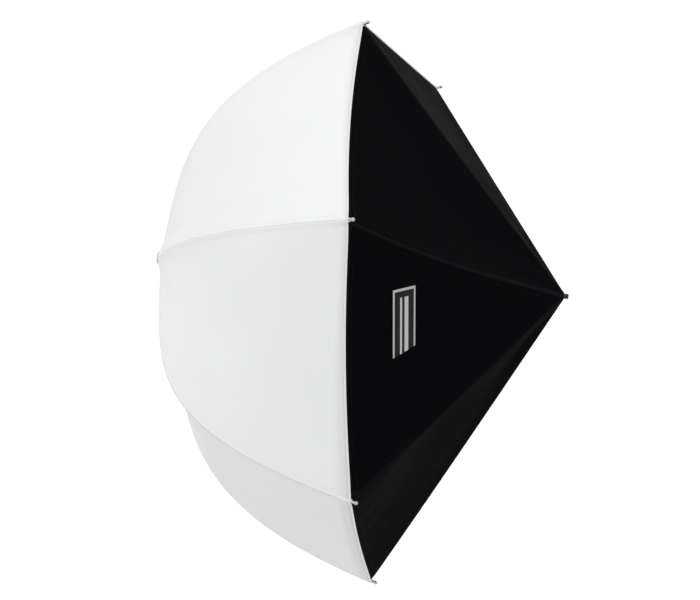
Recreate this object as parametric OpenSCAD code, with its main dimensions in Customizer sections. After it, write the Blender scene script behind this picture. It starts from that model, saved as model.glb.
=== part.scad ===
/* [Frame] */
// Length of the shaft from the crown's face to its free rear end
shaft_length = 649; // [640:1:670]
// Radius of the shaft
shaft_r = 4; // [3.5:0.1:5]
// Wall of the shaft's tube
shaft_wall = 0.8; // [0.6:0.1:1.2]
// Radius of a rib's rod
rib_r = 2; // [1.6:0.1:2.2]

/* [Crown and runner] */
// Distance of a rib's hinge pin from the shaft's axis
crown_pin_r = 12; // [11:0.5:14]
// Distance of a stretcher's hinge pin from the shaft's axis
runner_pin_r = 14; // [13:0.5:16]
// Place of the runner behind the crown's face when the frame is open
runner_x = 194; // [190:1:200]
// Length of the runner's grip
runner_grip = 38; // [30:1:45]
// Radius of every hinge pin
pin_r = 1; // [0.8:0.1:1.2]
// Radial play of a hinge eye on its pin
play = 0.05; // [0.03:0.01:0.08]
// Sideways step from a rib's plane to its stretcher's plane
stretcher_step = 4.6; // [4.4:0.1:5]
// Thickness of a stretcher's bar
stretcher_t = 2.4; // [2:0.1:2.6]
// Depth of a stretcher's outer pivot under the rib's centre line
bracket_drop = 2.9; // [2.8:0.1:3.2]

/* [Fabric] */
// Thickness of the fabric panels
cloth_t = 1.2; // [1:0.1:1.4]
// Height of the canopy over a rib's centre line
cloth_off = 5; // [4.9:0.1:5.4]
// Extra height of the canopy where it passes over the crown
crown_lift = 1.4; // [1:0.1:1.6]
// Gap at a seam between two panels
seam_gap = 0.8; // [0.6:0.1:1.2]
// Depth that a canopy gore sags between its ribs
gore_sag = 8; // [0:1:12]
// Place of the rear cover's point behind the crown's face
cover_point = 644; // [640:1:648]
// Half the length of the stand slot
slot_a = 105; // [80:5:115]
// Half the width of the stand slot
slot_b = 26; // [20:1:30]

/* [Hidden] */

// Each rib: turn about the shaft from straight up, radius and depth of the rim corner, share of
// its depth that is a straight slope, how sharply the rest bows towards the tip, and the place
// of the stretcher's bracket as a share of the rib's reach
RIBS = [
    [26.6, 418, 324, 0.26, 3.4, 0.4865],
    [80.5, 444, 378, 0.34, 2, 0.438],
    [138.9, 434, 392, 0.24, 4.6, 0.4925],
    [194.2, 498, 365, 0.24, 5.4, 0.4075],
    [259.6, 449, 367, 0.3, 3, 0.45],
    [317.9, 444, 366, 0.28, 3, 0.457]];

crown_x = 6;
flange_r = 15.5;
flange_t = 6;
hub_r = 8;
hub_l = 26;
boss_r = 5;
cap_r = 11;
cap_x = -2.4;
cap_t = 3;
screw_r = 2;
eye_t = 3;
eye_r = 2.6;
end_l = 16;
tip_back = 14;
tip_out = 8;
tip_rod_r = 2.4;
tip_ball_r = 3;
sleeve_r = 2.9;
sleeve_l = 12;
runner_flange_r = 19.5;
runner_flange_t = 10;
runner_sleeve_r = 8.5;
bar_h = 3.6;
bar_eye_r = 3;
rivet_r = 2.2;
rivet_t = 0.8;
catch_turn = 350;
catch_w = 2.4;
catch_x = runner_x + runner_grip + 7;
catch_l = 26;
catch_h = 2.6;
cuff_l = 16;
cuff_r = 5.9;
mouth_r = 7.8;
stud_l = 8;
neck_r = 3.6;
neck_l = 1.5;
plug_l = 14;
rod_gap = 0.3;
rod_sides = 8;
rod_rings = 20;
gore_steps = 14;
gore_cells = 4;
cover_steps = 6;
cover_cells = 4;
slot_panel = 4;
bind_w = 4;
bind_t = 2.4;
slot_points = 40;
slide_l = 12;
slide_w = 8;
slide_t = 3;

function rib(k) = RIBS[(k - 1) % 6];
function turn(k) = rib(k)[0] + (k > 6 ? 360 : 0);
function reach(k) = rib(k)[1] - crown_pin_r;
function depth(k) = rib(k)[2] - crown_x;
function slope(k) = rib(k)[3];
function bow(k) = rib(k)[4];
function bracket_at(k) = rib(k)[5];

// A rib's centre line in its own plane, as [place behind the crown's face, distance from the axis]
function rib_at(k, u) = [
    crown_x + depth(k) * (slope(k) * u + (1 - slope(k)) * pow(max(u, 0), bow(k))),
    crown_pin_r + reach(k) * u];
function rib_run(k, u) = [
    depth(k) * (slope(k) + (1 - slope(k)) * bow(k) * pow(max(u, 0), bow(k) - 1)),
    reach(k)];
function unit(v) = v / norm(v);
function rib_dir(k, u) = unit(rib_run(k, u));
function rib_out(k, u) = [-rib_dir(k, u)[1], rib_dir(k, u)[0]];
function rib_angle(k, u) = atan2(rib_run(k, u)[1], rib_run(k, u)[0]);

// A point of a plane through the shaft, turned by a about it, with a sideways step
function spin(a, p, side = 0) = [
    p[0],
    side * cos(a) - p[1] * sin(a),
    side * sin(a) + p[1] * cos(a)];

// The canopy's line over a rib, which stands higher where it passes over the crown
function rise(u) = cloth_off + crown_lift * pow(max(0, 1 - u / 0.05), 2);
function over_rib(k, u, h) = spin(turn(k), rib_at(k, u) + (rise(u) + h) * rib_out(k, u));
function inset(a, b, gap) = a + gap / 2 * unit(b - a);
function gore_point(k, u, s, h) =
    let (a = over_rib(k, u, h), b = over_rib(k + 1, u, h))
    let (a1 = inset(a, b, seam_gap), b1 = inset(b, a, seam_gap))
    let (mid = (turn(k) + turn(k + 1)) / 2)
    let (dip = gore_sag * 4 * s * (1 - s) * sin(180 * min(max(u, 0), 1)))
    a1 + s * (b1 - a1) + dip * spin(mid, [0.6, -0.8]);

// The rear cover's corner under a rib's end, and its corner at the mouth round the shaft
function hem_corner(k, h) = spin(turn(k), rib_at(k, 1) - (4.2 - h) * rib_out(k, 1) + [1, 0]);
function mouth_x() = cover_point - mouth_r * (cover_point - 367) / 446;
function mouth_corner(k, h) = spin(turn(k), [mouth_x() + h * 0.8, mouth_r + h * 0.6]);
function mid_turn(k) = (turn(k) + turn(k + 1)) / 2;

// A cover panel's face as rows of points from the mouth to the hem
function pair(a, b) = [inset(a, b, seam_gap), inset(b, a, seam_gap)];
function between(p, q, rows) = [for (i = [0:rows]) p + (q - p) * i / rows];
function cover_grid(k, h) =
    let (m = pair(mouth_corner(k, h), mouth_corner(k + 1, h)))
    let (e = pair(hem_corner(k, h), hem_corner(k + 1, h)))
    let (left = between(m[0], e[0], cover_steps), right = between(m[1], e[1], cover_steps))
    [for (i = [0:cover_steps]) between(left[i], right[i], cover_cells)];

// The flat frame of a cover panel: its middle line runs from the hem to the mouth
function hem_mid(k) = (hem_corner(k, 0) + hem_corner(k + 1, 0)) / 2;
function mouth_mid(k) = (mouth_corner(k, 0) + mouth_corner(k + 1, 0)) / 2;
function line_dir(k) = unit(mouth_mid(k) - hem_mid(k));
function side_dir(k) =
    let (s = hem_corner(k + 1, 0) - hem_corner(k, 0))
    unit(s - (s * line_dir(k)) * line_dir(k));
function face_dir(k) = cross(line_dir(k), side_dir(k));
slot_mid = hem_mid(slot_panel) + 0.47 * (mouth_mid(slot_panel) - hem_mid(slot_panel));

// Everything is laid out from the crown's face, then moved so that the shaft's free end is at 0
module place() {
    translate([-shaft_length, 0, 0])
        children();
}

module in_plane(a) {
    rotate([a, 0, 0])
        children();
}

module along_x(x, r, l) {
    translate([x, 0, 0])
        rotate([0, 90, 0])
            cylinder(r = r, h = l, $fn = 64);
}

module cross_pin(p, r, l, side = 0) {
    translate([p[0], side, p[1]])
        rotate([90, 0, 0])
            cylinder(r = r, h = l, center = true, $fn = 48);
}

// Local +X runs along the direction at angle a in the plane
module aim(p, a, side = 0) {
    translate([p[0], side, p[1]])
        rotate([0, -a, 0])
            children();
}

module slot_frame(k) {
    d = line_dir(k);
    s = side_dir(k);
    f = face_dir(k);
    multmatrix([
        [d[0], s[0], f[0], slot_mid[0]],
        [d[1], s[1], f[1], slot_mid[1]],
        [d[2], s[2], f[2], slot_mid[2]],
        [0, 0, 0, 1]])
        children();
}

module oval(a, b) {
    polygon([for (i = [0:slot_points - 1])
        [a * cos(360 * i / slot_points), b * sin(360 * i / slot_points)]]);
}

// A thin closed sheet between two grids of points, each a list of rows
module sheet(outer, inner) {
    rows = len(outer);
    cols = len(outer[0]);
    points = concat([for (row = outer) each row], [for (row = inner) each row]);
    n = rows * cols;
    top = [for (i = [0:rows - 2], j = [0:cols - 2])
        each [[i * cols + j, i * cols + j + 1, (i + 1) * cols + j + 1],
            [i * cols + j, (i + 1) * cols + j + 1, (i + 1) * cols + j]]];
    bottom = [for (f = top) [f[2] + n, f[1] + n, f[0] + n]];
    rim = concat(
        [for (j = [0:cols - 1]) j],
        [for (i = [1:rows - 1]) i * cols + cols - 1],
        [for (j = [cols - 2:-1:0]) (rows - 1) * cols + j],
        [for (i = [rows - 2:-1:1]) i * cols]);
    m = len(rim);
    edge = [for (i = [0:m - 1])
        each [[rim[i], rim[i] + n, rim[(i + 1) % m]],
            [rim[(i + 1) % m], rim[i] + n, rim[(i + 1) % m] + n]]];
    polyhedron(points = points, faces = concat(top, bottom, edge), convexity = 6);
}

module shaft_tube() {
    color("dimgray") place() difference() {
        along_x(crown_x + 2, shaft_r, shaft_length - stud_l - neck_l - crown_x - 2);
        along_x(crown_x, shaft_r - shaft_wall, shaft_length);
        in_plane(catch_turn)
            translate([catch_x - 1, -catch_w / 2 - 0.3, 0])
                cube([catch_l + 2, catch_w + 0.6, shaft_r + 1]);
    }
}

module shaft_end_plug() {
    color("black") place() union() {
        along_x(shaft_length - stud_l, shaft_r, stud_l);
        along_x(shaft_length - stud_l - neck_l, neck_r, neck_l);
        along_x(shaft_length - stud_l - neck_l - plug_l, shaft_r - shaft_wall, plug_l);
    }
}

module crown() {
    color("gainsboro") place() difference() {
        union() {
            along_x(crown_x - flange_t / 2, flange_r, flange_t);
            along_x(crown_x, hub_r, hub_l);
            along_x(cap_x, boss_r, crown_x - cap_x);
        }
        along_x(crown_x + 2, shaft_r, hub_l);
        along_x(cap_x - 1, screw_r, crown_x + 2 - cap_x);
        for (k = [1:6])
            in_plane(turn(k)) {
                translate([0, -eye_t / 2 - 0.3, crown_pin_r - eye_r - 0.4])
                    cube([crown_x + flange_t, eye_t + 0.6, flange_r]);
                cross_pin([crown_x, crown_pin_r], pin_r, 9);
            }
    }
}

module crown_cap() {
    color("lightgray") place() union() {
        translate([cap_x, 0, 0])
            rotate([0, -90, 0])
                rotate_extrude($fn = 64)
                    polygon([[0, 0], [cap_r, 0], [cap_r, 1], [cap_r - 1.5, cap_t - 0.6],
                        [4, cap_t], [3.2, cap_t - 1], [0, cap_t - 1]]);
        along_x(cap_x, screw_r, crown_x - cap_x);
    }
}

module crown_pins() {
    color("silver") place()
        for (k = [1:6])
            in_plane(turn(k))
                cross_pin([crown_x, crown_pin_r], pin_r + 0.02, 8.6);
}

module runner() {
    color("darkslategray") place() difference() {
        union() {
            along_x(runner_x - runner_flange_t / 2, runner_flange_r, runner_flange_t);
            along_x(runner_x, runner_sleeve_r, runner_grip);
            along_x(runner_x + runner_grip - 4, runner_sleeve_r + 2, 4);
        }
        along_x(runner_x - runner_flange_t, shaft_r + play, 2 * runner_grip);
        for (k = [1:6])
            in_plane(turn(k)) {
                translate([runner_x - runner_flange_t, stretcher_step - stretcher_t / 2 - 0.5,
                    runner_pin_r - bar_eye_r - 0.8])
                    cube([2 * runner_flange_t, stretcher_t + 1, runner_flange_r]);
                cross_pin([runner_x, runner_pin_r], pin_r, 8, stretcher_step);
            }
        in_plane(catch_turn)
            translate([runner_x - runner_flange_t, -catch_w / 2 - 0.5, 0])
                cube([2 * runner_grip, catch_w + 1, shaft_r + catch_h + 0.6]);
    }
}

module runner_pins() {
    color("silver") place()
        for (k = [1:6])
            in_plane(turn(k))
                cross_pin([runner_x, runner_pin_r], pin_r + 0.02, 7.6, stretcher_step);
}

module shaft_catch() {
    color("silver") place()
        in_plane(catch_turn)
            rotate([90, 0, 0])
                linear_extrude(height = catch_w, center = true)
                    polygon([[catch_x, shaft_r - 0.6], [catch_x, shaft_r + catch_h],
                        [catch_x + 4, shaft_r + catch_h], [catch_x + catch_l, shaft_r - 0.3],
                        [catch_x + catch_l, shaft_r - 0.6]]);
}

module cover_cuff() {
    color("black") place() difference() {
        along_x(mouth_x() - cuff_l + 1, cuff_r, cuff_l);
        along_x(mouth_x() - 2 * cuff_l, shaft_r + play, 4 * cuff_l);
    }
}

module rib_rod(k) {
    u0 = (end_l + rod_gap) / norm(rib_run(k, 0));
    u1 = 1 - (tip_back + rod_gap) / norm(rib_run(k, 1));
    rings = [for (i = [0:rod_rings])
        let (u = u0 + (u1 - u0) * i / rod_rings)
        [for (j = [0:rod_sides - 1])
            let (b = 360 * j / rod_sides + 22.5)
            spin(turn(k), rib_at(k, u) + rib_r * cos(b) * rib_out(k, u), rib_r * sin(b))]];
    n = rod_sides;
    walls = [for (i = [0:rod_rings - 1], j = [0:n - 1])
        each [[i * n + j, i * n + (j + 1) % n, (i + 1) * n + (j + 1) % n],
            [i * n + j, (i + 1) * n + (j + 1) % n, (i + 1) * n + j]]];
    color("dimgray") place()
        polyhedron(
            points = [for (ring = rings) each ring],
            faces = concat(
                [[for (j = [n - 1:-1:0]) j]],
                walls,
                [[for (j = [0:n - 1]) rod_rings * n + j]]),
            convexity = 6);
}

module rib_end(k) {
    color("silver") place() in_plane(turn(k)) difference() {
        union() {
            cross_pin([crown_x, crown_pin_r], eye_r, eye_t);
            aim(rib_at(k, 0), rib_angle(k, 0))
                intersection() {
                    along_x(0.5, eye_r, end_l - 0.5);
                    translate([0, -eye_t / 2, -eye_r])
                        cube([end_l, eye_t, 2 * eye_r]);
                }
        }
        cross_pin([crown_x, crown_pin_r], pin_r + play, 2 * eye_t);
    }
}

module rib_bracket(k) {
    u = bracket_at(k);
    color("silver") place() in_plane(turn(k))
        aim(rib_at(k, u), rib_angle(k, u))
            difference() {
                along_x(-sleeve_l / 2, sleeve_r, sleeve_l);
                along_x(-sleeve_l, rib_r - 0.05, 2 * sleeve_l);
            }
}

module rib_tip(k) {
    color("silver") place() in_plane(turn(k))
        aim(rib_at(k, 1), rib_angle(k, 1))
            union() {
                along_x(-tip_back, tip_rod_r, tip_back + tip_out);
                translate([tip_out, 0, 0])
                    sphere(r = tip_ball_r, $fn = 32);
            }
}

module stretcher(k) {
    b = rib_at(k, bracket_at(k)) - bracket_drop * rib_out(k, bracket_at(k));
    q = [runner_x, runner_pin_r];
    l = norm(b - q);
    color("gray") place() in_plane(turn(k))
        aim(q, atan2(b[1] - q[1], b[0] - q[0]), stretcher_step)
            difference() {
                union() {
                    translate([0, -stretcher_t / 2, -bar_h / 2])
                        cube([l, stretcher_t, bar_h]);
                    cross_pin([0, 0], bar_eye_r, stretcher_t);
                    cross_pin([l, 0], bar_eye_r, stretcher_t);
                    cross_pin([l, 0], rivet_r, rivet_t, (stretcher_t + rivet_t) / 2);
                }
                cross_pin([0, 0], pin_r + play, 2 * stretcher_t);
            }
}

module canopy_gore(k) {
    u0 = -0.007;
    outer = [for (i = [0:gore_steps])
        let (u = u0 + (1 - u0) * pow(i / gore_steps, 1.3))
        [for (j = [0:gore_cells]) gore_point(k, u, j / gore_cells, cloth_t / 2)]];
    inner = [for (i = [0:gore_steps])
        let (u = u0 + (1 - u0) * pow(i / gore_steps, 1.3))
        [for (j = [0:gore_cells]) gore_point(k, u, j / gore_cells, -cloth_t / 2)]];
    color("white") place()
        sheet(outer, inner);
}

module cover_sheet(k) {
    sheet(cover_grid(k, cloth_t / 2), cover_grid(k, -cloth_t / 2));
}

module cover_panel(k) {
    color("black") place()
        if (k == slot_panel)
            difference() {
                cover_sheet(k);
                slot_frame(k)
                    linear_extrude(height = 60, center = true)
                        oval(slot_a, slot_b);
            }
        else
            cover_sheet(k);
}

module slot_binding() {
    color("dimgray") place() slot_frame(slot_panel)
        linear_extrude(height = bind_t, center = true)
            difference() {
                oval(slot_a - 0.3, slot_b - 0.3);
                oval(slot_a - bind_w, slot_b - bind_w);
            }
}

module zip_slider() {
    color("silver") place() slot_frame(slot_panel)
        translate([-slot_a + bind_w + 2, -slide_w / 2, -slide_t / 2])
            difference() {
                cube([slide_l, slide_w, slide_t]);
                translate([-1, 3, slide_t / 2 - 0.4])
                    cube([slide_l + 2, slide_w - 6, 0.8]);
            }
}

module zip_pull() {
    color("silver") place() slot_frame(slot_panel)
        translate([-slot_a + bind_w + 5, 0, slide_t / 2])
            linear_extrude(height = 1.2)
                difference() {
                    translate([0, -3])
                        square([26, 6]);
                    translate([17, -1.5])
                        square([6, 3]);
                }
}

shaft_tube();
shaft_end_plug();
crown();
crown_cap();
crown_pins();
runner();
runner_pins();
shaft_catch();
cover_cuff();
for (k = [1:6]) {
    rib_rod(k);
    rib_end(k);
    rib_bracket(k);
    rib_tip(k);
    stretcher(k);
    canopy_gore(k);
    cover_panel(k);
}
slot_binding();
zip_slider();
zip_pull();
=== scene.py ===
import math
import random
import bmesh
import bpy
from mathutils import Matrix, Vector


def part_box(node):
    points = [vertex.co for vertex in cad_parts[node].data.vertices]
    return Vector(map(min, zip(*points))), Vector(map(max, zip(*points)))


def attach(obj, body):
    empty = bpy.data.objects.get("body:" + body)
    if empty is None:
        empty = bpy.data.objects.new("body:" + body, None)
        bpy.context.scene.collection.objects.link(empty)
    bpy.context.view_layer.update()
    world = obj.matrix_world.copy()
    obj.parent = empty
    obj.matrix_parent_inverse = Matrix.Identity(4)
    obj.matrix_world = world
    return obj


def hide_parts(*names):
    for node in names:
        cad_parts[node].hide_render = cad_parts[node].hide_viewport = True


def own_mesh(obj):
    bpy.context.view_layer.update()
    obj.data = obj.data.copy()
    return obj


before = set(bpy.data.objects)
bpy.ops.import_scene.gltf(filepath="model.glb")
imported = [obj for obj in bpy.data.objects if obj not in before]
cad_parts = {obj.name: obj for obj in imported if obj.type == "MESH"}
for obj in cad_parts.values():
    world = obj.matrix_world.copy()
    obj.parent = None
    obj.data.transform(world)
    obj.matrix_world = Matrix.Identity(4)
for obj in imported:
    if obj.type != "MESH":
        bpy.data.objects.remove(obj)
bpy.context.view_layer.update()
print("frame loaded:", len(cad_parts), "nodes")

# metres throughout; +X runs along the shaft to its free end
shaftSetup = {"length": 0.649, "coverPoint": 0.644, "mouthRadius": 0.0052}

# a row per rib: turn about the shaft, reach from it, depth behind the crown, straight slope, bow
ribSetup = {
    "rows": [(26.6, 0.418, 0.324, 0.26, 3.4), (80.5, 0.444, 0.378, 0.34, 2.0),
             (138.9, 0.434, 0.392, 0.24, 4.6), (194.2, 0.498, 0.365, 0.24, 5.4),
             (259.6, 0.449, 0.367, 0.30, 3.0), (317.9, 0.444, 0.366, 0.28, 3.0)],
    "hingeX": 0.006, "hingeR": 0.012}

ribNumbers = range(1, 7)
slotPanel = 4


# rib and fabric lines

def ribRow(k):
    return ribSetup["rows"][(k - 1) % 6]


def ribTurn(k):
    return math.radians(ribRow(k)[0] + (360 if k > 6 else 0))


def ribAt(k, u):
    _, reach, depth, slope, bow = ribRow(k)
    bend = slope * u + (1 - slope) * max(u, 0) ** bow
    return (ribSetup["hingeX"] + (depth - ribSetup["hingeX"]) * bend,
            ribSetup["hingeR"] + (reach - ribSetup["hingeR"]) * u)


def ribOut(k, u):
    _, reach, depth, slope, bow = ribRow(k)
    run = reach - ribSetup["hingeR"]
    rise = (depth - ribSetup["hingeX"]) * (slope + (1 - slope) * bow * max(u, 0) ** (bow - 1))
    size = math.hypot(rise, run)
    return -run / size, rise / size


def spin(turn, x, r, side=0.0):
    # a point of the plane that stands at this turn about the shaft
    return Vector((x - shaftSetup["length"],
                   side * math.cos(turn) - r * math.sin(turn),
                   side * math.sin(turn) + r * math.cos(turn)))


def overRib(k, u, height):
    (x, r), (ox, outR) = ribAt(k, u), ribOut(k, u)
    return spin(ribTurn(k), x + height * ox, r + height * outR)


def outward(k, u):
    return (overRib(k, u, 0.01) - overRib(k, u, 0)).normalized()


def midTurn(k):
    return (ribTurn(k) + ribTurn(k + 1)) / 2


def tangentOf(turn):
    return Vector((0, math.cos(turn), math.sin(turn)))


def midWay(k, x, r):
    # a direction in the plane midway between two ribs
    return spin(midTurn(k), x, r) - spin(midTurn(k), 0, 0)


def smooth(low, high, value):
    t = min(max((value - low) / (high - low), 0), 1)
    return t * t * (3 - 2 * t)


# shader helpers

class Wire:
    # a socket that adds Math nodes when it is used in sums
    def __init__(self, tree, socket):
        self.tree, self.socket = tree, socket

    def math(self, kind, first, second=0.0):
        node = self.tree.nodes.new("ShaderNodeMath")
        node.operation = kind
        for place, value in enumerate((first, second)):
            if isinstance(value, Wire):
                self.tree.links.new(value.socket, node.inputs[place])
            else:
                node.inputs[place].default_value = value
        return Wire(self.tree, node.outputs[0])

    def __add__(self, other): return self.math("ADD", self, other)
    def __radd__(self, other): return self.math("ADD", other, self)
    def __sub__(self, other): return self.math("SUBTRACT", self, other)
    def __rsub__(self, other): return self.math("SUBTRACT", other, self)
    def __mul__(self, other): return self.math("MULTIPLY", self, other)
    def __rmul__(self, other): return self.math("MULTIPLY", other, self)
    def __truediv__(self, other): return self.math("DIVIDE", self, other)
    def __rtruediv__(self, other): return self.math("DIVIDE", other, self)
    def wave(self): return self.math("SINE", self)
    def over(self, edge): return self.math("GREATER_THAN", self, edge)
    def under(self, edge): return self.math("LESS_THAN", self, edge)
    def most(self, other): return self.math("MAXIMUM", self, other)
    def size(self): return self.math("ABSOLUTE", self)
    def part(self): return self.math("FRACT", self)


class Finish:
    # one material or world: every node comes from node(), and build() fills a material's shader
    def __init__(self, name, owner=None):
        self.owner = owner or bpy.data.materials.new(name)
        self.owner.use_nodes = True
        self.tree = self.owner.node_tree
        self.tree.nodes.clear()

    def node(self, kind, settings=None, sockets=None, out=0):
        node = self.tree.nodes.new(kind)
        for key, value in (settings or {}).items():
            if key == "stops":
                ramp = node.color_ramp.elements
                while len(ramp) < len(value):
                    ramp.new(0.5)
                for element, (place, colour) in zip(ramp, value):
                    element.position, element.color = place, (*colour, 1)
            else:
                setattr(node, key, value)
        for key, value in (sockets or {}).items():
            if isinstance(value, Wire):
                self.tree.links.new(value.socket, node.inputs[key])
            elif isinstance(value, (tuple, list)) and node.inputs[key].type == "RGBA":
                node.inputs[key].default_value = (*value, 1)
            else:
                node.inputs[key].default_value = value
        return Wire(self.tree, node.outputs[out]) if len(node.outputs) else None

    def place(self):
        return self.node("ShaderNodeTexCoord", out="Object")

    def cloth(self, axis):
        # metres across (x) and along (y) the cut piece, and metres from the nearest seam (z)
        spot = self.node("ShaderNodeAttribute", {"attribute_name": "clothPlace"}, out="Vector")
        return self.node("ShaderNodeSeparateXYZ", None, {"Vector": spot}, out=axis)

    def noise(self, scale, detail=3.0, rough=0.5, vector=None):
        return self.node("ShaderNodeTexNoise", None, {
            "Vector": vector or self.place(), "Scale": scale, "Detail": detail, "Roughness": rough})

    def mix(self, share, first, second):
        sockets = {0: share, 6: first, 7: second}  # the node's factor and its two colours
        return self.node("ShaderNodeMix", {"data_type": "RGBA"}, sockets, out=2)

    def bump(self, height, strength, distance, under=None):
        sockets = {"Height": height, "Strength": strength, "Distance": distance}
        if under:
            sockets["Normal"] = under
        return self.node("ShaderNodeBump", None, sockets)

    def build(self, **sockets):
        names = {key: key.replace("_", " ") for key in sockets}
        shader = self.node("ShaderNodeBsdfPrincipled", None,
                           {names[key]: value for key, value in sockets.items()})
        self.node("ShaderNodeOutputMaterial", None, {"Surface": shader})
        return self.owner


# finishes

# shade is the colour of a painted shadow line along every seam, and fold is that line's half width
whiteSetup = {"bright": (0.86, 0.865, 0.87), "dull": (0.80, 0.805, 0.815),
              "thread": (0.70, 0.70, 0.69), "doubled": (0.89, 0.89, 0.885), "shade": (0.36, 0.36, 0.365),
              "weave": 0.0011, "stitch": 0.0035, "rows": (0.0042, 0.0095), "fold": 0.0006,
              "felled": 0.006}
stitchShape = {"dash": 0.68, "halfWidth": 0.00045}  # share of the pitch, and metres


def stitchMask(finish, setup):
    # short dashes along the seams, one row at each distance
    along, fromSeam = finish.cloth("Y"), finish.cloth("Z")
    dash = (along / setup["stitch"]).part().under(stitchShape["dash"])
    first, second = [(fromSeam - row).size().under(stitchShape["halfWidth"]) for row in setup["rows"]]
    return dash * first.most(second)


def weaveHeight(finish, pitch):
    across, along = finish.cloth("X"), finish.cloth("Y")
    turns = 2 * math.pi / pitch
    return (across * turns).wave() * (along * turns).wave()


def makeWhiteCloth():
    finish = Finish("whiteDiffusionCloth")
    cloud = finish.noise(5.0, 4.0)
    crease = finish.noise(38.0, 5.0, 0.6)
    stitches = stitchMask(finish, whiteSetup)
    felled = finish.cloth("Z").under(whiteSetup["felled"])
    # painted shade: a dark line 0.6 mm either side of each seam stands in for the shadow in the seam's crease
    fold = finish.cloth("Z").under(whiteSetup["fold"])
    body = finish.mix(cloud, whiteSetup["dull"], whiteSetup["bright"])
    doubled = finish.mix(felled * 0.25, body, whiteSetup["doubled"])
    # the painted seam shadow is laid over the cloth here
    seamShadowed = finish.mix(fold * 0.5, doubled, whiteSetup["shade"])
    colour = finish.mix(stitches * 0.3, seamShadowed, whiteSetup["thread"])
    soft = finish.bump(crease, 0.10, 0.002)
    weave = finish.bump(weaveHeight(finish, whiteSetup["weave"]), 0.12, 0.0002, soft)
    sewn = finish.bump(1 - stitches, 0.5, 0.0006, weave)
    return finish.build(Base_Color=colour, Roughness=0.72 + 0.12 * crease, Normal=sewn,
                        Specular_IOR_Level=0.25, Sheen_Weight=0.15, Sheen_Roughness=0.6)


blackSetup = {"deep": (0.0024, 0.0024, 0.0031), "worn": (0.0040, 0.0040, 0.0048),
              "thread": (0.009, 0.009, 0.010), "ripThread": (0.005, 0.005, 0.006),
              "edge": (0.014, 0.014, 0.016), "edgeWidth": 0.0030, "weave": 0.0012, "stitch": 0.0035,
              "rows": (0.0045, 0.0115), "rip": 0.006, "ripShare": 0.09}


def makeBlackCloth():
    finish = Finish("blackCoatedNylon")
    cloud = finish.noise(7.0, 4.0)
    crease = finish.noise(30.0, 6.0, 0.6)
    stitches = stitchMask(finish, blackSetup)
    ripAcross, ripAlong = [(finish.cloth(axis) / blackSetup["rip"]).part().under(blackSetup["ripShare"])
                           for axis in ("X", "Y")]
    grid = ripAcross.most(ripAlong)
    body = finish.mix(cloud, blackSetup["deep"], blackSetup["worn"])
    ripped = finish.mix(grid * 0.3, body, blackSetup["ripThread"])
    bound = finish.cloth("Z").under(blackSetup["edgeWidth"])
    edge = finish.mix(bound * 0.5, ripped, blackSetup["edge"])
    colour = finish.mix(stitches * 0.8, edge, blackSetup["thread"])
    soft = finish.bump(crease, 0.22, 0.002)
    weave = finish.bump(weaveHeight(finish, blackSetup["weave"]) + grid, 0.18, 0.0002, soft)
    sewn = finish.bump(1 - stitches, 0.5, 0.0006, weave)
    return finish.build(Base_Color=colour, Roughness=0.55 + 0.16 * cloud, Normal=sewn,
                        Specular_IOR_Level=0.004)


def makeSilverLining():
    finish = Finish("silverLining")
    crush = finish.noise(60.0, 6.0, 0.65)
    colour = finish.mix(crush, (0.55, 0.56, 0.58), (0.72, 0.73, 0.75))
    return finish.build(Base_Color=colour, Roughness=0.28 + 0.2 * crush, Metallic=0.85,
                        Normal=finish.bump(crush, 0.4, 0.001))


def makeMetal(name, bright, dark, rough, metallic=1.0):
    finish = Finish(name)
    stretch = finish.node("ShaderNodeMapping", None,
                          {"Vector": finish.place(), "Scale": (40.0, 400.0, 400.0)})
    grain = finish.noise(3.0, 4.0, 0.6, stretch)
    spots = finish.node("ShaderNodeValToRGB", {"stops": [(0.55, (0, 0, 0)), (0.75, (1, 1, 1))]},
                        {"Fac": finish.noise(260.0, 3.0)})
    colour = finish.mix(spots * 0.4, finish.mix(grain, bright, dark), dark)
    return finish.build(Base_Color=colour, Roughness=rough + 0.15 * grain, Metallic=metallic,
                        Normal=finish.bump(grain, 0.12, 0.0002))


def makePaint(name, colour, worn, rough):
    finish = Finish(name)
    peel = finish.noise(420.0, 2.0)
    scuff = finish.noise(45.0, 6.0, 0.7)
    scratched = finish.node("ShaderNodeValToRGB", {"stops": [(0.62, (0, 0, 0)), (0.70, (1, 1, 1))]},
                            {"Fac": scuff})
    tone = finish.mix(scratched * 0.5, finish.mix(peel * 0.3, colour, worn), worn)
    return finish.build(Base_Color=tone, Roughness=rough + 0.18 * scuff, Coat_Weight=0.15,
                        Normal=finish.bump(peel, 0.15, 0.0003))


def makePlastic(name, colour, shade, rough):
    finish = Finish(name)
    pebble = finish.node("ShaderNodeTexVoronoi", None, {"Vector": finish.place(), "Scale": 900.0})
    haze = finish.noise(30.0, 4.0)
    return finish.build(Base_Color=finish.mix(haze, colour, shade), Roughness=rough + 0.15 * haze,
                        Normal=finish.bump(pebble, 0.12, 0.0003))


def makeRod(name, colour, shade):
    finish = Finish(name)
    wrap = finish.node("ShaderNodeTexWave", {"wave_type": "BANDS"},
                       {"Vector": finish.place(), "Scale": 260.0, "Distortion": 3.0, "Detail": 2.0})
    return finish.build(Base_Color=finish.mix(wrap * 0.5, colour, shade), Roughness=0.35 + 0.2 * wrap,
                        Coat_Weight=0.3, Normal=finish.bump(wrap, 0.08, 0.0003))


def makeElastic(name, colour, shade, pitch):
    finish = Finish(name)
    x = finish.node("ShaderNodeSeparateXYZ", None, {"Vector": finish.place()}, out="X")
    rows = (x * (2 * math.pi / pitch)).wave() * 0.5 + 0.5
    fuzz = finish.noise(700.0, 3.0)
    return finish.build(Base_Color=finish.mix(rows * 0.6 + fuzz * 0.3, colour, shade), Roughness=0.85,
                        Sheen_Weight=0.3, Normal=finish.bump(rows + 0.4 * fuzz, 0.5, 0.0006))


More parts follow.
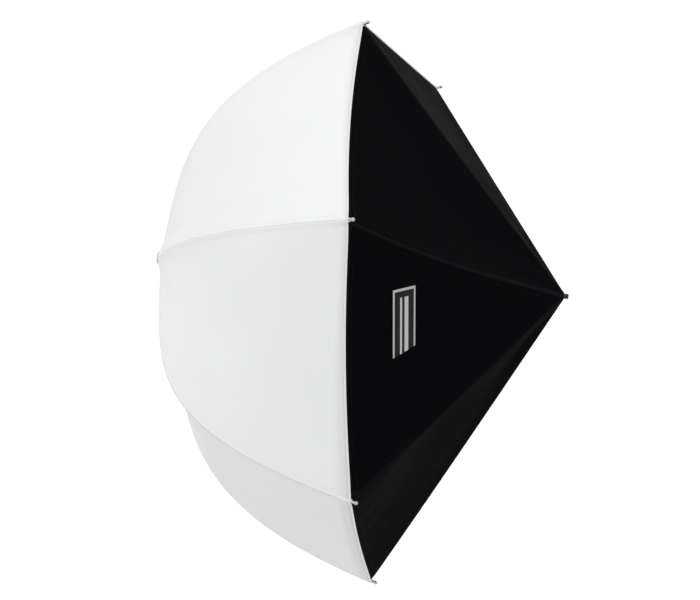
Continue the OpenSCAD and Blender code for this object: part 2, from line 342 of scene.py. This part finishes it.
def makeLabel():
    # a plain woven strip: dark ground, a pale sewn edge and two pale bars
    finish = Finish("wovenLabel")
    along, across = finish.cloth("X"), finish.cloth("Y")  # shares of the label, from 0 to 1
    fromMiddle = (along - 0.5).size() * 2
    edge = fromMiddle.over(0.955).most(((across - 0.5).size() * 2).over(0.86))
    thinBar, wideBar = (across - 0.36).size().under(0.045), (across - 0.60).size().under(0.085)
    bars = (thinBar + wideBar) * fromMiddle.under(0.84)
    weave = (across * 190.0).wave() * (along * 620.0).wave()
    ground = finish.mix(finish.noise(300.0, 3.0), (0.006, 0.006, 0.007), (0.012, 0.012, 0.013))
    pale = finish.mix(weave * 0.5 + 0.5, (0.42, 0.42, 0.42), (0.62, 0.62, 0.61))
    colour = finish.mix(edge.most(bars), ground, pale)
    return finish.build(Base_Color=colour, Roughness=0.7, Specular_IOR_Level=0.2,
                        Normal=finish.bump(weave, 0.3, 0.0003))


whiteCloth = makeWhiteCloth()
blackCloth = makeBlackCloth()
silverLining = makeSilverLining()
tapeFinish = makeElastic("grosgrainTape", (0.010, 0.010, 0.012), (0.03, 0.03, 0.034), 0.0012)
whiteTape = makeElastic("whiteHemTape", (0.88, 0.88, 0.87), (0.80, 0.80, 0.79), 0.0014)
platedSteel = makeMetal("platedSteel", (0.66, 0.65, 0.63), (0.42, 0.41, 0.40), 0.26)
darkZinc = makeMetal("blackenedZinc", (0.20, 0.20, 0.21), (0.09, 0.09, 0.09), 0.34)
springSteel = makeMetal("springSteel", (0.58, 0.58, 0.57), (0.36, 0.36, 0.36), 0.22)
print("finishes made")

cadFinishes = {
    "shaft_tube": makePaint("satinBlackTube", (0.03, 0.03, 0.032), (0.12, 0.12, 0.12), 0.32),
    "shaft_end_plug": makePlastic("endPlugPlastic", (0.008, 0.008, 0.009), (0.014, 0.014, 0.015), 0.5),
    "crown": makePlastic("crownPlastic", (0.78, 0.78, 0.76), (0.68, 0.68, 0.66), 0.4),
    "crown_cap": makePlastic("capPlastic", (0.62, 0.62, 0.61), (0.52, 0.52, 0.51), 0.35),
    "crown_pins": platedSteel,
    "runner": makePlastic("runnerPlastic", (0.02, 0.02, 0.022), (0.035, 0.035, 0.038), 0.45),
    "runner_pins": platedSteel,
    "shaft_catch": springSteel,
    "cover_cuff": makeElastic("cuffElastic", (0.006, 0.006, 0.007), (0.02, 0.02, 0.022), 0.0011),
    "zip_slider": darkZinc,
    "zip_pull": darkZinc,
}
rodFinish = makeRod("ribFibreglass", (0.05, 0.05, 0.052), (0.10, 0.10, 0.10))
barFinish = makePaint("stretcherPaint", (0.16, 0.16, 0.165), (0.34, 0.34, 0.34), 0.34)
for k in ribNumbers:
    cadFinishes[f"rib_{k}"] = rodFinish
    cadFinishes[f"stretcher_{k}"] = barFinish
    for part in ("rib_end", "rib_bracket", "rib_tip"):
        cadFinishes[f"{part}_{k}"] = platedSteel

for nodeName, finish in cadFinishes.items():
    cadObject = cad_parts[nodeName]
    for holder in cadObject.material_slots:
        holder.link = "OBJECT"
        holder.material = finish
print("frame parts finished")


# sheets of cloth

def gridMesh(name, rows, places, finishes, thickness, inwardSide):
    # rows of points become one sheet with a thickness and its cut-out places kept for the finish
    mesh = bpy.data.meshes.new(name)
    cols = len(rows[0])
    points = [p for row in rows for p in row]
    faces = [(i * cols + j, i * cols + j + 1, (i + 1) * cols + j + 1, (i + 1) * cols + j)
             for i in range(len(rows) - 1) for j in range(cols - 1)]
    mesh.from_pydata(points, [], faces)
    spots = mesh.attributes.new("clothPlace", "FLOAT_VECTOR", "POINT")
    for index, spot in enumerate(p for row in places for p in row):
        spots.data[index].vector = spot
    for finish in finishes:
        mesh.materials.append(finish)
    mesh.polygons.foreach_set("use_smooth", [True] * len(mesh.polygons))
    piece = bpy.data.objects.new(name, mesh)
    bpy.context.scene.collection.objects.link(piece)
    shell = piece.modifiers.new("thickness", "SOLIDIFY")
    shell.thickness, shell.offset = thickness, inwardSide
    shell.material_offset = len(finishes) - 1  # the second finish, if any, is the lining
    shell.material_offset_rim = 0
    return piece


def sheetArea(rows):
    total = 0.0
    for low, high in zip(rows, rows[1:]):
        for a, b, c, d in zip(low, low[1:], high[1:], high):
            total += (c - a).cross(d - b).length / 2
    return total


def lineLength(points):
    return sum((b - a).length for a, b in zip(points, points[1:]))


def normalsOf(rows):
    found = []
    for i, row in enumerate(rows):
        up, down = rows[min(i + 1, len(rows) - 1)], rows[max(i - 1, 0)]
        found.append([(row[min(j + 1, len(row) - 1)] - row[max(j - 1, 0)]).cross(up[j] - down[j]).normalized()
                      for j in range(len(row))])
    return found


def tube(name, path, radius, finish, sides=8, closed=False, scaleAt=None):
    # a round bead swept along a path of points
    mesh, count = bpy.data.meshes.new(name), len(path)
    points, faces = [], []
    guide = Vector((0.31, 0.52, 0.79))  # any direction that no path runs along
    for i, spot in enumerate(path):
        ahead = path[(i + 1) % count] if closed else path[min(i + 1, count - 1)]
        behind = path[i - 1] if closed or i else path[0]
        run = (ahead - behind).normalized()
        side = run.cross(guide).normalized()
        rise = side.cross(run)
        size = radius * (scaleAt(i / (count - 1)) if scaleAt else 1)
        for j in range(sides):
            angle = 2 * math.pi * j / sides
            points.append(spot + size * (math.cos(angle) * side + math.sin(angle) * rise))
    for i in range(count if closed else count - 1):
        a, b = i * sides, ((i + 1) % count) * sides
        for j in range(sides):
            n = (j + 1) % sides
            faces.append((a + j, a + n, b + n, b + j))
    if not closed:
        faces.append(tuple(reversed(range(sides))))
        faces.append(tuple(range((count - 1) * sides, count * sides)))
    mesh.from_pydata(points, [], faces)
    mesh.materials.append(finish)
    mesh.polygons.foreach_set("use_smooth", [True] * len(mesh.polygons))
    piece = bpy.data.objects.new(name, mesh)
    bpy.context.scene.collection.objects.link(piece)
    return piece


# white canopy

canopySetup = {"across": 24, "along": 56, "start": -0.007, "crowding": 1.15, "thickness": 0.0006,
               "nearSeam": (0, 0.0006, 0.0014, 0.0030, 0.0054, 0.0066, 0.0090), "nearShare": 0.02,
               "seamHeight": 0.0038, "crownLift": 0.0036, "crownShare": 0.05, "hemHeight": 0.0008,
               "hemPull": (0.009, 0.007, 0.004, 0.0045, 0.0045, 0.0005),  # one for each gore
               "cornerReach": 0.012, "rimShare": 0.86, "sag": 0.007, "sagWay": (0.6, -0.8),
               "felled": 0.0004, "fold": 0.0005, "foldWidth": 0.0014, "keep": 0.21,
               "beadR": 0.0015, "beadEnd": 0.75}
goreWaves = {"seam": 0.0005, "seamFade": 0.012, "seamPitch": 0.024, "pucker": 0.0020, "puckerFade": 0.085,
             "puckerFolds": 13, "broad": 0.0012, "slack": 0.0009}
shiftDice = random.Random(7)
ripplePhase = {k: [shiftDice.uniform(0, 2 * math.pi) for _ in range(6)] for k in ribNumbers}


def hemPoint(k, s, height, setup):
    # along the rim between two ribs' ends; height is above the ribs' centre lines
    a, b = overRib(k, 1, 0), overRib(k + 1, 1, 0)
    width = (b - a).length
    fromCorner = min(s, 1 - s) * width
    lift = math.copysign(setup["hemHeight"], height) \
        + (height - math.copysign(setup["hemHeight"], height)) \
        * math.exp(-fromCorner / canopySetup["cornerReach"])
    up = outward(k, 1).lerp(outward(k + 1, 1), s).normalized()
    pull = canopySetup["hemPull"][k - 1] * 4 * s * (1 - s)
    return a.lerp(b, s) + lift * up - Vector((pull, 0, 0))


def ripples(k, s, u, fromSeam, fromRimA, fromRimB, along):
    phase, waves = ripplePhase[k], goreWaves
    seam = waves["seam"] * math.exp(-fromSeam / waves["seamFade"]) \
        * math.sin(along * 2 * math.pi / waves["seamPitch"] + phase[0]) * smooth(0, 0.004, fromSeam)
    corner = 0.0
    for far, side in ((fromRimA, s), (fromRimB, 1 - s)):
        angle = math.atan2(max(1 - u, 0) * 0.55, side * 0.46 + 1e-6)
        corner += waves["pucker"] * math.exp(-far / waves["puckerFade"]) \
            * math.sin(angle * waves["puckerFolds"] + phase[1]) * smooth(0, 0.012, fromSeam)
    broad = waves["broad"] * math.sin(3.1 * math.pi * s + phase[2]) \
        * math.sin(2.3 * math.pi * u + phase[3]) * smooth(0, 0.05, fromSeam)
    slack = waves["slack"] * math.sin(9 * u + 5 * s + phase[4]) \
        * smooth(0, 0.04, fromSeam) * smooth(0.1, 0.4, u)
    return seam + corner + broad + slack


def seamColumns(width):
    # shares across a gore, close together beside its two seams
    near = [min(d / width, canopySetup["nearShare"] * i) for i, d in enumerate(canopySetup["nearSeam"])]
    span = 1 - 2 * near[-1]
    middle = [near[-1] + span * j / canopySetup["across"] for j in range(1, canopySetup["across"])]
    return near + middle + [1 - share for share in reversed(near)]


def makeGore(k):
    setup = canopySetup
    rows, places = [], []
    lengthA = lineLength([overRib(k, i / 40, 0) for i in range(41)])
    for i in range(setup["along"] + 1):
        v = i / setup["along"]
        u = setup["start"] + (1 - setup["start"]) * v ** setup["crowding"]
        lift = setup["seamHeight"] + setup["crownLift"] * max(0, 1 - u / setup["crownShare"]) ** 2
        a, b = overRib(k, u, lift), overRib(k + 1, u, lift)
        width = (b - a).length
        row, marks = [], []
        for s in seamColumns(width):
            spot = a.lerp(b, s)
            dip = setup["sag"] * 4 * s * (1 - s) * math.sin(math.pi * min(max(u, 0), 1)) ** 0.8
            spot = spot + dip * midWay(k, *setup["sagWay"])
            nearRim = smooth(setup["rimShare"], 1.0, u)
            if nearRim > 0:
                rim = hemPoint(k, s, setup["seamHeight"], setup)
                spot = spot + nearRim * (rim - hemBase(k, s))
            row.append(spot)
            fromSeam = min(s, 1 - s) * width
            along = u * lengthA
            fromHem = (1 - u) * lengthA
            marks.append(((s - 0.5) * width, along, min(fromSeam, fromHem + 0.0030)))
        rows.append(row)
        places.append(marks)
    faceWay = normalsOf(rows)
    cornerA, cornerB = rows[-1][0], rows[-1][-1]
    for i, row in enumerate(rows):
        for j, spot in enumerate(row):
            across, along, _ = places[i][j]
            u = along / lengthA
            s = across / max((rows[i][-1] - rows[i][0]).length, 1e-6) + 0.5
            fromSeam = min(s, 1 - s) * (rows[i][-1] - rows[i][0]).length
            wave = ripples(k, s, u, fromSeam, (spot - cornerA).length, (spot - cornerB).length, along)
            felled = setup["felled"] * (1 - smooth(0.0055, 0.0065, fromSeam)) if s < 0.5 else 0
            groove = setup["fold"] * (1 - smooth(0, setup["foldWidth"], fromSeam)) * smooth(0.05, 0.2, u)
            fade = smooth(0, 0.015, (1 - u) * lengthA) * smooth(0.0, 0.08, u)
            rows[i][j] = spot + faceWay[i][j] * sheetSign * (wave * fade + felled - groove)
    piece = gridMesh(f"canopyGore{k}", rows, places, [whiteCloth], setup["thickness"], -sheetSign)
    return piece, rows


def hemBase(k, s):
    a, b = overRib(k, 1, canopySetup["seamHeight"]), overRib(k + 1, 1, canopySetup["seamHeight"])
    return a.lerp(b, s)


sheetSign = 1.0  # turned round where the rows' own order would face the gores inwards
probe = (overRib(2, 0.5, 0) - overRib(1, 0.5, 0)).cross(overRib(1, 0.6, 0) - overRib(1, 0.5, 0))
if probe.dot(outward(1, 0.5)) < 0:
    sheetSign = -1.0


def crumple(piece, k):
    # gives the piece a mesh of its own
    tuple(tangentOf(midTurn(k)))
    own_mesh(piece)


def beadScale(t):
    # the hem bead is slimmer at its ends
    return canopySetup["beadEnd"] + (1 - canopySetup["beadEnd"]) * math.sin(math.pi * t) ** 0.5


for k in ribNumbers:
    gore, rows = makeGore(k)
    rows[-1][len(rows[-1]) // 2].copy()
    bead = tube(f"canopyHemBead{k}", rows[-1], canopySetup["beadR"], whiteTape, scaleAt=beadScale)
    for piece in (gore, bead):
        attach(piece, f"gore_{k}")
    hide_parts(f"canopy_gore_{k}")
    width, length = lineLength(rows[-1]), lineLength([row[len(row) // 2] for row in rows])
    round(sheetArea(rows), 3)
    f"rib_{k % 6 + 1}"
    for piece in (gore, bead):
        crumple(piece, k)
print("white canopy sewn")


# black rear cover

coverSetup = {"across": 30, "along": 44, "hemX": 0.367, "hemR": 0.446, "mouthBack": 0.0012,
              "seamHeight": -0.0026, "hemHeight": 0.0008, "thickness": 0.0006, "keep": 0.16,
              "seamSag": {2: 0.010, 6: 0.0005}, "usualSag": 0.003, "sagShape": 0.75,
              "dip": 0.006, "dipWay": (-0.63, -0.78), "felled": 0.0004,
              "slotA": 0.105, "slotB": 0.026, "slotMouth": 0.0078, "slotFlat": 0.05, "slotCalm": 0.02}
coverWaves = {"wave": 0.0022, "slow": 0.0010, "pull": 0.0011, "pullFade": 0.05, "pullFolds": 34,
              "pucker": 0.0005, "puckerFade": 0.012, "puckerPitch": 0.026}


def coneSlope():
    # how far back the cover goes for each metre towards the shaft
    return (shaftSetup["coverPoint"] - coverSetup["hemX"]) / coverSetup["hemR"]


def mouthPoint(k, s):
    turn = ribTurn(k) * (1 - s) + ribTurn(k + 1) * s
    r = shaftSetup["mouthRadius"]
    return spin(turn, shaftSetup["coverPoint"] - (r - coverSetup["mouthBack"]) * coneSlope(), r)


def seamSag(k):
    return coverSetup["seamSag"].get((k - 1) % 6 + 1, coverSetup["usualSag"])


def coverSpot(k, s, t):
    # a point of the panel before its wrinkles, s from rib to rib and t from the hem to the mouth
    hem, mouth = hemPoint(k, s, coverSetup["seamHeight"], coverSetup), mouthPoint(k, s)
    bell = math.sin(math.pi * t ** coverSetup["sagShape"])
    sag = (seamSag(k) * (1 - s) + seamSag(k + 1) * s) * bell
    dip = coverSetup["dip"] * 4 * s * (1 - s) * bell
    return hem.lerp(mouth, t) + Vector((0, 0, -sag)) + dip * midWay(k, *coverSetup["dipWay"])


# the stand slot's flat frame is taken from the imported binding
bindLow, bindHigh = (Vector(c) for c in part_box("slot_binding"))
slotCentre = (bindLow + bindHigh) / 2


def slotFrame():
    corner = [overRib(k, 1, -0.0042) + Vector((0.001, 0, 0)) for k in (slotPanel, slotPanel + 1)]
    r = coverSetup["slotMouth"]
    mouth = [spin(ribTurn(k), shaftSetup["coverPoint"] - r * coneSlope(), r)
             for k in (slotPanel, slotPanel + 1)]
    hemMid, mouthMid = (corner[0] + corner[1]) / 2, (mouth[0] + mouth[1]) / 2
    line = (mouthMid - hemMid).normalized()
    side = corner[1] - corner[0]
    side = (side - side.dot(line) * line).normalized()
    return slotCentre, line, side, line.cross(side)


def makeCoverPanel(k):
    setup = coverSetup
    rows, places = [], []
    centre, line, side, face = slotFrame()
    for i in range(setup["along"] + 1):
        row = []
        for j in range(setup["across"] + 1):
            spot = coverSpot(k, j / setup["across"], i / setup["along"])
            if k == slotPanel:
                # flat round the slot, so that the cloth meets its binding
                rel = spot - centre
                p, q, h = rel.dot(line), rel.dot(side), rel.dot(face)
                away = math.hypot(p / (setup["slotA"] + setup["slotFlat"]),
                                  q / (setup["slotB"] + setup["slotFlat"]))
                spot = spot - h * face * (1 - smooth(0.75, 1.15, away))
            row.append(spot)
        rows.append(row)
    panelLength = lineLength([row[len(row) // 2] for row in rows])
    faceWay = normalsOf(rows)
    phase, waves = ripplePhase[k], coverWaves
    for i, row in enumerate(rows):
        width = (row[-1] - row[0]).length
        t = i / setup["along"]
        marks = []
        for j, spot in enumerate(list(row)):
            s = j / setup["across"]
            fromSeam = min(s, 1 - s) * width
            along, fromHem = t * panelLength, t * panelLength
            calm = smooth(0, 0.03, fromSeam) * smooth(0, 0.02, fromHem) * smooth(1.0, 0.85, t)
            wave = waves["wave"] * math.sin(2.2 * math.pi * s + phase[2]) \
                * math.sin(2.6 * math.pi * t + phase[3]) + waves["slow"] * math.sin(11 * t + 4 * s + phase[5])
            pull = waves["pull"] * math.exp(-fromHem / waves["pullFade"]) \
                * math.sin(waves["pullFolds"] * s + phase[1])
            pucker = waves["pucker"] * math.exp(-fromSeam / waves["puckerFade"]) \
                * math.sin(along * 2 * math.pi / waves["puckerPitch"] + phase[0]) * smooth(0, 0.004, fromSeam)
            felled = setup["felled"] * (1 - smooth(0.006, 0.007, fromSeam)) if s < 0.5 else 0
            if k == slotPanel:
                rel = spot - centre
                away = math.hypot(rel.dot(line) / (setup["slotA"] + setup["slotCalm"]),
                                  rel.dot(side) / (setup["slotB"] + setup["slotCalm"]))
                calm *= smooth(0.9, 1.6, away)
            rise = (wave + pull) * calm + pucker * smooth(0, 0.02, fromHem) \
                + felled * smooth(0, 0.01, fromHem)
            row[j] = spot + faceWay[i][j] * coverSign * rise
            marks.append(((s - 0.5) * width, along, min(fromSeam, fromHem + 0.0001)))
        places.append(marks)
    piece = gridMesh(f"coverPanel{k}", rows, places, [blackCloth, silverLining],
                     setup["thickness"], -coverSign)
    if k == slotPanel:
        cutSlot(piece, centre, line, side)
    return piece, rows


def cutSlot(piece, centre, line, side):
    # the cloth inside the oval goes, and its edge moves out to the oval
    a, b = coverSetup["slotA"] - 0.002, coverSetup["slotB"] - 0.002
    work = bmesh.new()
    work.from_mesh(piece.data)
    bmesh.ops.subdivide_edges(work, edges=[e for e in work.edges if all(
        math.hypot((v.co - centre).dot(line) / (a + 0.03), (v.co - centre).dot(side) / (b + 0.03)) < 1.0
        for v in e.verts)], cuts=2, use_grid_fill=True)

    def ovalPlace(spot):
        rel = spot - centre
        return math.hypot(rel.dot(line) / a, rel.dot(side) / b)

    inside = [f for f in work.faces if ovalPlace(f.calc_center_median()) < 1.0]
    bmesh.ops.delete(work, geom=inside, context="FACES")
    for v in work.verts:
        if v.is_boundary and ovalPlace(v.co) < 1.35:
            rel = v.co - centre
            p, q = rel.dot(line), rel.dot(side)
            size = max(math.hypot(p / a, q / b), 1e-6)
            v.co = centre + line * p / size + side * q / size
    work.to_mesh(piece.data)
    work.free()


coverSign = 1.0
hemRun = hemPoint(1, 0.6, -0.002, coverSetup) - hemPoint(1, 0.4, -0.002, coverSetup)
probe = hemRun.cross(mouthPoint(1, 0.5) - hemPoint(1, 0.5, -0.002, coverSetup))
if probe.dot(midWay(1, 0.8, 0.6)) < 0:
    coverSign = -1.0

coverSheets = {}
for k in ribNumbers:
    panel, rows = makeCoverPanel(k)
    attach(panel, f"cover_{k}")
    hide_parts(f"cover_panel_{k}")
    coverSheets[k] = (panel, rows)
    crumple(panel, k)
print("black cover sewn")


# stand slot: folded tape and zip teeth

slotTrim = {"tapeR": 0.0019, "tapeInset": 0.0018, "drop": 0.0006, "points": 96,
            "teeth": 148, "toothInset": 0.0046, "toothSize": (0.0016, 0.0022, 0.0011), "toothRound": 0.0003}


def ovalPath(inset, count):
    centre, line, side, face = slotFrame()
    a, b = coverSetup["slotA"] - inset, coverSetup["slotB"] - inset
    middle = centre - slotTrim["drop"] * face
    turns = [2 * math.pi * i / count for i in range(count)]
    return [middle + line * a * math.cos(turn) + side * b * math.sin(turn) for turn in turns]


def makeTeeth():
    centre, line, side, face = slotFrame()
    mesh = bpy.data.meshes.new("zipTeeth")
    work = bmesh.new()
    path = ovalPath(slotTrim["toothInset"], slotTrim["teeth"])
    for i, spot in enumerate(path):
        run = (path[(i + 1) % len(path)] - path[i - 1]).normalized()
        inward = face.cross(run)
        matrix = Matrix((run, inward, face)).transposed().to_4x4()
        matrix.translation = spot
        size = Matrix.Diagonal((*slotTrim["toothSize"], 1))
        bmesh.ops.create_cube(work, size=1.0, matrix=matrix @ size)
    bmesh.ops.bevel(work, geom=list(work.edges), offset=slotTrim["toothRound"], segments=1, affect="EDGES")
    work.to_mesh(mesh)
    work.free()
    mesh.materials.append(darkZinc)
    piece = bpy.data.objects.new("zipTeeth", mesh)
    bpy.context.scene.collection.objects.link(piece)
    return piece


slotTape = tube("slotTape", ovalPath(slotTrim["tapeInset"], slotTrim["points"]), slotTrim["tapeR"],
                tapeFinish, sides=10, closed=True)
zipTeeth = makeTeeth()
for piece in (slotTape, zipTeeth):
    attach(piece, f"cover_{slotPanel}")
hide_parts("slot_binding")
for piece in (slotTape, zipTeeth):
    crumple(piece, slotPanel)
print("stand slot trimmed")


# corner pockets on the rib ends

pocketSetup = {"back": 0.026, "front": 0.001, "r": 0.0052, "slim": 0.60, "swell": 0.18, "steps": 10}


def pocketScale(t):
    return pocketSetup["slim"] + pocketSetup["swell"] * math.sin(math.pi * t)


def makePocket(k):
    (x, r), (ox, outR) = ribAt(k, 1), ribOut(k, 1)
    path = []
    for i in range(pocketSetup["steps"] + 1):
        back = pocketSetup["back"] * (1 - i / pocketSetup["steps"]) - pocketSetup["front"]
        path.append(spin(ribTurn(k), x - outR * back, r + ox * back))
    return tube(f"tipPocket{k}", path, pocketSetup["r"], whiteTape, sides=14, scaleAt=pocketScale)


for k in ribNumbers:
    pocket = makePocket(k)
    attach(pocket, f"rib_{k}_arm")
print("corner pockets made")


# woven label on the front cover panel

labelSetup = {"panel": 2, "s": 0.48, "t": 0.262, "width": 0.046, "height": 0.172, "lift": 0.0009,
              "thickness": 0.0006, "along": 16, "across": 12, "step": 0.02}


def makeLabelPatch():
    k, s, t, step = labelSetup["panel"], labelSetup["s"], labelSetup["t"], labelSetup["step"]
    middle = coverSpot(k, s, t)
    hemWay = (coverSpot(k, s + step, t) - coverSpot(k, s - step, t)).normalized()
    backWay = (coverSpot(k, s, t + step) - coverSpot(k, s, t - step)).normalized()
    face = hemWay.cross(backWay) * coverSign
    along = [j / labelSetup["along"] for j in range(labelSetup["along"] + 1)]
    across = [i / labelSetup["across"] for i in range(labelSetup["across"] + 1)]
    rows = [[middle + hemWay * labelSetup["height"] * (a - 0.5) + backWay * labelSetup["width"] * (b - 0.5)
             + face * labelSetup["lift"] for a in along] for b in across]
    places = [[(a, b, 0) for a in along] for b in across]
    return gridMesh("coverLabel", rows, places, [makeLabel()], labelSetup["thickness"], -coverSign)


label = makeLabelPatch()
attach(label, f"cover_{labelSetup['panel']}")
crumple(label, labelSetup["panel"])
for k, (panel, rows) in coverSheets.items():
    width, length = lineLength(rows[0]), lineLength([row[len(row) // 2] for row in rows])
    round(sheetArea(rows), 3)
print("label sewn on")


# stage, light and camera

stageSetup = {"floorZ": -1.15, "floorR": 3.0, "floorTones": ((0.74, 0.74, 0.74), (0.77, 0.77, 0.77))}
cameraSetup = {"lens": 131.76, "sensor": 36, "yaw": -10.478, "tilt": 5.490,
               "offset": (-0.29936, 4.05909, 0.06637)}
worldSetup = {"low": 0.45, "high": 1.16, "backdrop": 1.1}
lightSetup = {"keyLight": {"place": (-2.2, -2.0, 2.4), "target": (-0.35, 0, 0), "size": 1.6, "power": 12},
              "frontLight": {"place": (-1.9, -3.0, 0.3), "target": (-0.45, 0, 0), "size": 1.8, "power": 6}}


def makeFloor():
    mesh = bpy.data.meshes.new("floor")
    work = bmesh.new()
    bmesh.ops.create_circle(work, cap_ends=True, radius=stageSetup["floorR"], segments=96,
                            matrix=Matrix.Translation((-0.3, 0, stageSetup["floorZ"])))
    work.to_mesh(mesh)
    work.free()
    finish = Finish("paleFloor")
    tone = finish.mix(finish.noise(0.8), *stageSetup["floorTones"])
    mesh.materials.append(finish.build(Base_Color=tone, Roughness=0.9))
    floor = bpy.data.objects.new("floor", mesh)
    bpy.context.scene.collection.objects.link(floor)


def makeLight(name, place, target, size, power):
    data = bpy.data.lights.new(name, "AREA")
    data.shape, data.size, data.energy = "DISK", size, power
    lamp = bpy.data.objects.new(name, data)
    lamp.location = place
    lamp.rotation_euler = (Vector(target) - Vector(place)).to_track_quat("-Z", "Y").to_euler()
    bpy.context.scene.collection.objects.link(lamp)


def makeCamera():
    yaw, tilt = math.radians(cameraSetup["yaw"]), math.radians(cameraSetup["tilt"])
    turned = Matrix.Rotation(tilt, 3, "Y") @ Matrix.Rotation(yaw, 3, "Z")
    place = -(turned.transposed() @ Vector(cameraSetup["offset"])) - Vector((shaftSetup["length"], 0, 0))
    right, forward, up = turned.row[0], turned.row[1], turned.row[2]
    data = bpy.data.cameras.new("camera")
    data.lens, data.sensor_width = cameraSetup["lens"], cameraSetup["sensor"]
    camera = bpy.data.objects.new("camera", data)
    matrix = Matrix((right, up, -forward)).transposed().to_4x4()
    matrix.translation = place
    camera.matrix_world = matrix
    bpy.context.scene.collection.objects.link(camera)
    bpy.context.scene.camera = camera


def makeWorld():
    # light grows towards the top, and the backdrop behind everything is plain
    world = bpy.data.worlds.new("studio")
    sky = Finish("studio", world)
    spot = sky.node("ShaderNodeTexCoord", out="Generated")
    height = sky.node("ShaderNodeSeparateXYZ", None, {"Vector": spot}, out="Z")
    strength = sky.node("ShaderNodeMapRange", None, {
        "Value": height, "From Min": -1.0, "From Max": 1.0,
        "To Min": worldSetup["low"], "To Max": worldSetup["high"]})
    soft = sky.node("ShaderNodeBackground", None, {"Color": (1, 1, 1), "Strength": strength})
    plain = sky.node("ShaderNodeBackground", None,
                     {"Color": (1, 1, 1), "Strength": worldSetup["backdrop"]})
    seen = sky.node("ShaderNodeLightPath", out="Is Camera Ray")
    both = sky.node("ShaderNodeMixShader", None, {0: seen, 1: soft, 2: plain})
    sky.node("ShaderNodeOutputWorld", None, {"Surface": both})
    bpy.context.scene.world = world


makeFloor()
makeWorld()
makeCamera()
for name, values in lightSetup.items():
    makeLight(name, **values)
bpy.context.scene.view_settings.view_transform = "Standard"
print("stage set")
